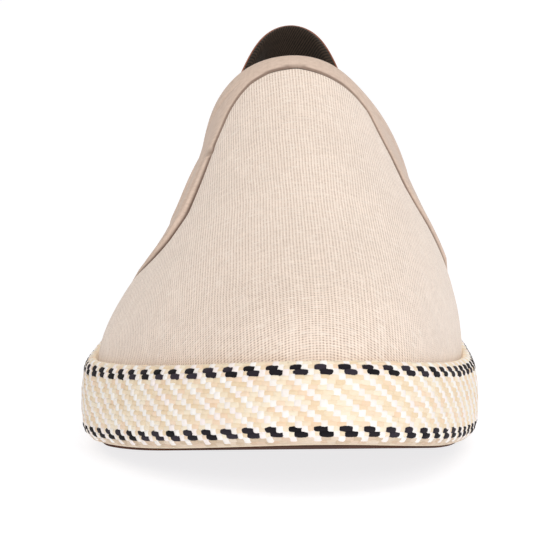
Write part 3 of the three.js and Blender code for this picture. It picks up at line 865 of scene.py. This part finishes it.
def make_heel_leather():
    """The leather piece on the back of the heel, with a rounded edge and a line of stitches."""
    columns, rows = 91, 81
    across = np.linspace(-1, 1, columns)
    deep = np.linspace(0, 1, rows)[:, None]
    depth = patch_depth(across)
    down = 0.1 + (depth - 0.55) * deep
    width = PATCH_HALF_WIDTH * np.ones_like(deep)
    place = HEEL_MIDDLE + width * across
    side = (1 - np.abs(across)) * PATCH_HALF_SPAN
    edge = np.minimum(side * np.ones_like(deep), depth * (1 - deep))
    rim = np.clip(edge / 1.2, 0, 1)
    skived = 0.45 + 0.55 * np.clip(down / 5.0, 0, 1)
    thick = 0.4 + 0.9 * np.sqrt(np.clip(1 - (1 - rim) ** 2, 0, 1)) * skived
    edge = np.minimum(edge, depth * deep)
    groove = 0.3 * bell(edge, STITCH_INSET, 0.45)
    out = thick - groove + 0.1 * np.sin(place * 7) * np.sin(down * 0.3)
    share = share_below(place, down)
    front = wall_at(place, share, out)
    # The edge is turned over the topline and in again behind the cloth.
    fold = ((-0.12, 0.78), (-0.3, 0.66), (-0.34, 0.5), (0.0, 0.38))
    over = [wall_at(place[0], share_below(place[0], down_here), out_here) for down_here, out_here in fold]
    points = np.concatenate([np.array(over)[::-1], front])
    uv_v = np.concatenate([np.array([[-2.0], [-1.6], [-1.2], [-0.8]]) * np.ones(columns), down])
    uv = np.stack([np.broadcast_to(run_at(place[0]), uv_v.shape), -uv_v], -1)
    wear = np.concatenate([np.full((4, columns), 0.75), 0.6 * np.exp(-edge / 0.8)])
    piece = grid_piece("heel_leather", points, uv, leather_look, flip=True, tint=wear)
    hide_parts("heel_patch")
    # The stitches follow the edge.
    inset = 1 - STITCH_INSET / PATCH_HALF_SPAN
    path_across = np.concatenate([np.full(60, -inset), np.linspace(-inset, inset, 160), np.full(60, inset)])
    bottom = patch_depth(path_across) - STITCH_INSET - 0.5
    path_down = bottom.copy()
    path_down[:60] = np.linspace(STITCH_INSET, bottom[0], 60)
    path_down[-60:] = np.linspace(bottom[-1], STITCH_INSET, 60)
    path_place = HEEL_MIDDLE + PATCH_HALF_WIDTH * path_across
    path_share = share_below(path_place, path_down)
    line = wall_at(path_place, path_share, 1.0)
    normal = sample(WALL_NORMAL, path_place, path_share)
    make_stitches("heel_stitches", line, normal, 2.3, 0.7, 0.3, thread_look)


# ------------------------------------------------------------------ tape round the sole

# The tape's side profile, from behind its rolled hem, over the lip and down to the turned-under edge.
TAPE_HEIGHT = np.array([20.5, 21.75, 22.65, 23.05, 22.85, 22.1, 20.9, 19.0, 15.0, 10.5, 6.2, 3.9, 2.3, 1.5])
TAPE_INSET = np.array([4.6, 4.4, 3.9, 3.2, 2.5, 1.85, 1.15, 0.6, 0.1, 0.0, 0.3, 1.0, 2.3, 3.8])
LIP = 3  # index of the top of the rolled hem in the two lists above


def tape_profile():
    """The side profile made fine and smooth: run from the lip, height, inset and outward normal."""
    knots = np.append(0, np.cumsum(np.hypot(np.diff(TAPE_HEIGHT), np.diff(TAPE_INSET))))
    fine = np.linspace(0, knots[-1], 600)
    kernel = np.hanning(33)
    kernel /= kernel.sum()
    soft = []
    for values in (TAPE_HEIGHT, TAPE_INSET):
        line = np.interp(fine, knots, values)
        padded = np.concatenate([2 * line[0] - line[16:0:-1], line, 2 * line[-1] - line[-2:-18:-1]])
        soft.append(np.convolve(padded, kernel, "valid"))
    height, inset = soft
    run = np.append(0, np.cumsum(np.hypot(np.diff(height), np.diff(inset))))
    lip = np.interp(knots[LIP], fine, run)
    rise, inwards = np.gradient(height), np.gradient(inset)
    size = np.hypot(rise, inwards)
    return run - lip, height, inset, -rise / size, -inwards / size


TAPE_RUN, TAPE_Z, TAPE_IN, TAPE_NORMAL_OUT, TAPE_NORMAL_Z = tape_profile()


def tape_at(around, down, out):
    """Points of the tape: around millimetres round the sole, down from its lip, out from its face."""
    around, down, out = np.broadcast_arrays(np.asarray(around, float), down, out)
    place = place_at(around)
    height = np.interp(down, TAPE_RUN, TAPE_Z)
    inset = np.interp(down, TAPE_RUN, TAPE_IN)
    normal_out = np.interp(down, TAPE_RUN, TAPE_NORMAL_OUT)
    normal_z = np.interp(down, TAPE_RUN, TAPE_NORMAL_Z)
    return sole_point(place, inset - out * normal_out, height + out * normal_z)


DASH_REPEAT = 6.6
REPEATS = round(OUTLINE_TOTAL / DASH_REPEAT)
REPEAT = OUTLINE_TOTAL / REPEATS
COLUMN = REPEAT / 4
ROW_PITCH = 1.335
FIRST_ROW = 2.5  # from the lip down to the middle of the first dark row
TAPE_PHASE = -2.57
DARK_ROWS = (0, 1, 12, 13)
LAST_ROW = 15


def tape_base():
    """The tape's ground under its floats, with its rolled top hem."""
    columns = 560
    around = np.arange(columns) * OUTLINE_TOTAL / columns
    down = np.concatenate([np.linspace(TAPE_RUN[0], 1.0, 14), np.linspace(1.0, TAPE_RUN[-1], 34)[1:]])
    out = np.where(down < 1.0, 0.05, -0.2)
    points = tape_at(around, down[:, None], out[:, None])
    wide = np.append(around, OUTLINE_TOTAL)
    uv = np.stack(np.broadcast_arrays(wide[None, :], -down[:, None]), -1)
    # The ground below the lip is tinted darker than the rolled hem: painted shade in the gaps between the
    # floats.
    tint = np.where(down[:, None] < 1.0, 0.9, 0.35) * np.ones(columns)
    piece = grid_piece("tape_ground", points, uv, base_look, closed=True, flip=True, tint=tint)
    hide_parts("foxing_band")


def tape_floats(
    name, centres, length, width, height, material, along=9, across=6, square=2.0, taper=0.2, rough=0.03
):
    """Yarn floats on the tape. centres lists (around, down) pairs; the ends dive into the ground."""
    centres = np.concatenate(centres)
    count = len(centres)
    a = np.linspace(-1, 1, along)[None, :, None]
    b = np.linspace(-1, 1, across)[None, None, :]
    jitter = rng.normal(0, 1, (count, 5))
    reach = (length * (1 + 0.06 * jitter[:, 0]) / 2)[:, None, None]
    half = (width * (1 + 0.07 * jitter[:, 1]) / 2)[:, None, None]
    body = np.clip(1 - np.abs(a) ** 3.2, 0, 1)
    s = centres[:, 0][:, None, None] + (jitter[:, 2] * 0.07)[:, None, None] + a * reach
    tilt = (jitter[:, 3] * 0.05)[:, None, None] * a
    t = centres[:, 1][:, None, None] + tilt + b * half * (1 - taper + taper * body)
    t = t + (jitter[:, 4] * 0.05)[:, None, None]
    crown = np.sqrt(np.clip(1 - 0.95 * np.abs(b) ** square, 0, 1))
    rise = height * (1 + 0.1 * jitter[:, 4])[:, None, None]
    out = rise * crown * (0.3 + 0.7 * np.sqrt(body)) - 0.34 + 0.08 * body
    out = out + rng.normal(0, rough, out.shape)
    t = t + rng.normal(0, rough, t.shape)
    points = tape_at(s, t, out)
    tint = np.broadcast_to(rng.random(count)[:, None, None], points.shape[:3])
    uv = np.stack(np.broadcast_arrays(a * reach, b * half), -1)
    return patches_piece(name, points, uv, material, tint=tint)


def make_tape():
    tape_base()
    repeat = np.arange(REPEATS) * REPEAT + TAPE_PHASE
    jute, white, navy_upper, navy_lower, gaps, hem = [], [], [], [], [], []
    for row in range(-2, LAST_ROW + 1):
        rows_down = np.full(REPEATS, FIRST_ROW + ROW_PITCH * row)
        spot = repeat + row * COLUMN
        in_hem = row > DARK_ROWS[-1]
        if -2 < row < LAST_ROW:
            white.append(np.stack([spot, rows_down], 1))
        if row in DARK_ROWS:
            first = row in DARK_ROWS[::2]
            navy, shift = (navy_upper, 1.45) if first else (navy_lower, 1.58)
            navy.append(np.stack([spot - COLUMN * shift, rows_down], 1))
            gaps.append(np.stack([spot + COLUMN * 0.95, rows_down], 1))
        else:
            # Each jute float is two strands, end to end, that differ in tone.
            for offset, lean in ((1.2, -0.07), (2.8, 0.07)):
                (hem if in_hem else jute).append(np.stack([spot + COLUMN * offset, rows_down + lean], 1))
            if row == LAST_ROW:
                hem.append(np.stack([spot, rows_down], 1))
    half, thick, navy_thick = COLUMN * 1.95, ROW_PITCH * 1.16, ROW_PITCH * 1.5
    tape_floats("tape_jute", jute, half, thick, 0.4, jute_look, along=7, square=2.4)
    # The hem rows take the darker jute: painted shade where the tape curves under the sole.
    tape_floats("tape_hem_painted_shade", hem, half, thick, 0.36, shaded_hem_look, along=7, square=2.4)
    tape_floats("tape_white", white, COLUMN * 1.42, ROW_PITCH * 1.65, 0.5, white_look, 7, 7, square=3.2)
    tape_floats("tape_navy_upper", navy_upper, COLUMN * 2.5, navy_thick, 0.6, navy_look, taper=0.7)
    tape_floats("tape_navy_lower", navy_lower, COLUMN * 2.85, navy_thick, 0.62, navy_look, taper=0.7)
    tape_floats("tape_gaps", gaps, COLUMN * 1.3, ROW_PITCH * 1.2, 0.44, jute_look, along=7, square=2.6)


# ------------------------------------------------------------------ soles


def slab_piece(name, levels, columns, material, height_at=None):
    """A closed slab of the sole: rings from its top middle, down the side, to its bottom middle."""
    place = np.linspace(0, PLACES, columns, endpoint=False)
    rings = []
    for height, inset, shrink in levels:
        ring = sole_point(place, np.full(columns, inset), height)
        centre = np.array([ring[:, 0].mean(), 0])
        spine_y = np.clip(ring[:, 1], 45, LENGTH - 38)
        spine = np.stack([np.interp(spine_y, [45, 110, 180, 250], [4, 1, 2, 3]), spine_y], 1)
        ring[:, :2] = spine + (ring[:, :2] - spine) * shrink
        ring[:, 2] = height + spring_at(ring[:, 1])
        if height_at is not None:
            ring[:, 2] += height_at(ring, height)
        rings.append(ring)
    points = np.array(rings)
    wide = np.concatenate([points, points[:, :1]], 1)
    uv = wide[..., :2].copy()
    return grid_piece(name, points, uv, material, closed=True, flip=True, merge=0.02)


def make_insole():
    top = INSOLE_TOP
    inset = FEATHER_INSET + CLOTH_THICKNESS + 0.6
    levels = [(top - 0.2, inset, k) for k in np.linspace(0.0, 0.92, 24)]
    levels += [(top, inset, 0.96), (top, inset, 0.985), (top - 0.25, inset, 1.0)]
    levels += [(top - 1.2, inset - 0.1, 1.0), (top - 3.3, inset, 1.0)]

    def dish(ring, height):
        """The sock dips a little under the heel and the ball."""
        heel = bell(ring[:, 1], 240, 40) * 0.5
        ball = bell(ring[:, 1], 85, 38) * 0.4
        return -(heel + ball) * (height > top - 1)

    piece = slab_piece("sock", levels, 300, lining_look, dish)
    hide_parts("insole")


def make_outsole():
    """The rubber sole: a rounded edge and a plain underside, lifted a little under the arch."""
    levels = [(OUTSOLE_TOP, 4.9, k) for k in (0.9, 0.97, 1.0)]
    levels += [(2.0, 4.8, 1.0), (1.2, 4.8, 1.0), (0.6, 5.0, 1.0), (0.15, 5.4, 1.0), (0.0, 6.0, 1.0)]
    levels += [(0.0, 6.0, k) for k in np.linspace(0.97, 0.0, 60)]

    def underside(ring, height):
        along = ring[:, 1]
        share = (along - ARCH_FRONT) / (ARCH_BACK - ARCH_FRONT)
        arch = np.where((share > 0) & (share < 1), ARCH_LIFT * np.sin(np.pi * np.clip(share, 0, 1)) ** 2, 0)
        low = 1 - height / OUTSOLE_TOP
        return (arch + TOE_THINNING * np.sqrt(spring_at(along) / TOE_SPRING)) * low

    piece = slab_piece("outsole_rubber", levels, 360, rubber_look, underside)
    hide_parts("outsole")


make_vamp()
make_quarters()
make_seam_backing()
make_lining()
make_heel_leather()
make_tape()
make_insole()
make_outsole()

for slot_index in range(len(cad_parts["midsole"].material_slots)):
    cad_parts["midsole"].material_slots[slot_index].material = base_look

# ------------------------------------------------------------------ floor, light and camera

CAMERA_AIM = Vector((0.37 * MM, 0.0, 34.5 * MM))
CAMERA_ELEVATION = math.radians(8.0)
CAMERA_DISTANCE = 1.9457
CAMERA_LENS = 463.9
CAMERA_ROLL = math.radians(-0.55)


def make_floor():
    side, count = 6.0, 41
    line = np.linspace(-side / 2, side / 2, count) / MM
    x, y = np.meshgrid(line, line)
    points = np.stack([x + MIDDLE[0], y + MIDDLE[1], np.zeros_like(x)], -1)
    look = Look("pale_floor", 0.9)
    grain = look.noise(look.place, 120.0, 4.0)
    base = look.mix(grain, (0.26, 0.265, 0.275, 1), (0.3, 0.3, 0.305, 1))
    look.shader.inputs["Emission Color"].default_value = (0.985, 0.985, 1.0, 1.0)
    look.shader.inputs["Emission Strength"].default_value = 0.8
    material = look.finish(base, grain, relief=0.05, strength=0.2)
    mesh = bpy.data.meshes.new("floor")
    faces, _ = grid_faces(count, count)
    mesh.from_pydata(((points.reshape(-1, 3) - [MIDDLE[0], MIDDLE[1], 0]) * MM).tolist(), [], faces.tolist())
    mesh.materials.append(material)
    floor = bpy.data.objects.new("floor", mesh)
    bpy.context.scene.collection.objects.link(floor)


def make_light(name, place, aim, size, power, colour=(1, 1, 1)):
    data = bpy.data.lights.new(name, "AREA")
    data.shape = "RECTANGLE"
    data.size, data.size_y = size
    data.energy = power
    data.color = colour
    light = bpy.data.objects.new(name, data)
    light.location = Vector(place)
    light.rotation_euler = (Vector(aim) - Vector(place)).to_track_quat("-Z", "Y").to_euler()
    bpy.context.scene.collection.objects.link(light)


make_floor()
shoe_middle = (0.0, 0.0, 0.04)
make_light("overhead_softbox", (0.1, 0.1, 1.9), shoe_middle, (1.8, 1.4), 12)
make_light("front_fill", (0.3, -2.2, 0.9), shoe_middle, (1.4, 1.2), 20)

WORLD_DIM_SIDE = (0.375, 0.35, 0.32, 1.0)
WORLD_BRIGHT_SIDE = (0.6, 0.58, 0.555, 1.0)


def make_world():
    """Pale studio walls all round, brighter on the side of the window."""
    world = bpy.data.worlds.new("studio")
    bpy.context.scene.world = world
    world.use_nodes = True
    tree = world.node_tree
    where = tree.nodes.new("ShaderNodeTexCoord")
    parts = tree.nodes.new("ShaderNodeSeparateXYZ")
    level = tree.nodes.new("ShaderNodeMapRange")
    walls = tree.nodes.new("ShaderNodeMix")
    walls.data_type = "RGBA"
    tree.links.new(where.outputs["Generated"], parts.inputs[0])
    tree.links.new(parts.outputs[0], level.inputs["Value"])
    level.inputs["From Min"].default_value = -1.0
    tree.links.new(level.outputs[0], walls.inputs[0])
    walls.inputs[6].default_value = WORLD_DIM_SIDE
    walls.inputs[7].default_value = WORLD_BRIGHT_SIDE
    background = tree.nodes["Background"]
    tree.links.new(walls.outputs[2], background.inputs["Color"])
    background.inputs["Strength"].default_value = 1.0


make_world()

camera_data = bpy.data.cameras.new("camera")
camera_data.lens = CAMERA_LENS
camera_data.sensor_width = 36.0
camera_data.clip_end = 50.0
camera = bpy.data.objects.new("camera", camera_data)
ahead = Vector((0.0, math.cos(CAMERA_ELEVATION), -math.sin(CAMERA_ELEVATION)))
camera.location = CAMERA_AIM - ahead * CAMERA_DISTANCE
turn = Euler((math.pi / 2 - CAMERA_ELEVATION, 0.0, 0.0)).to_matrix() @ Matrix.Rotation(CAMERA_ROLL, 3, "Z")
camera.rotation_euler = turn.to_euler()
bpy.context.scene.collection.objects.link(camera)
bpy.context.scene.camera = camera
bpy.context.scene.view_settings.view_transform = "Standard"
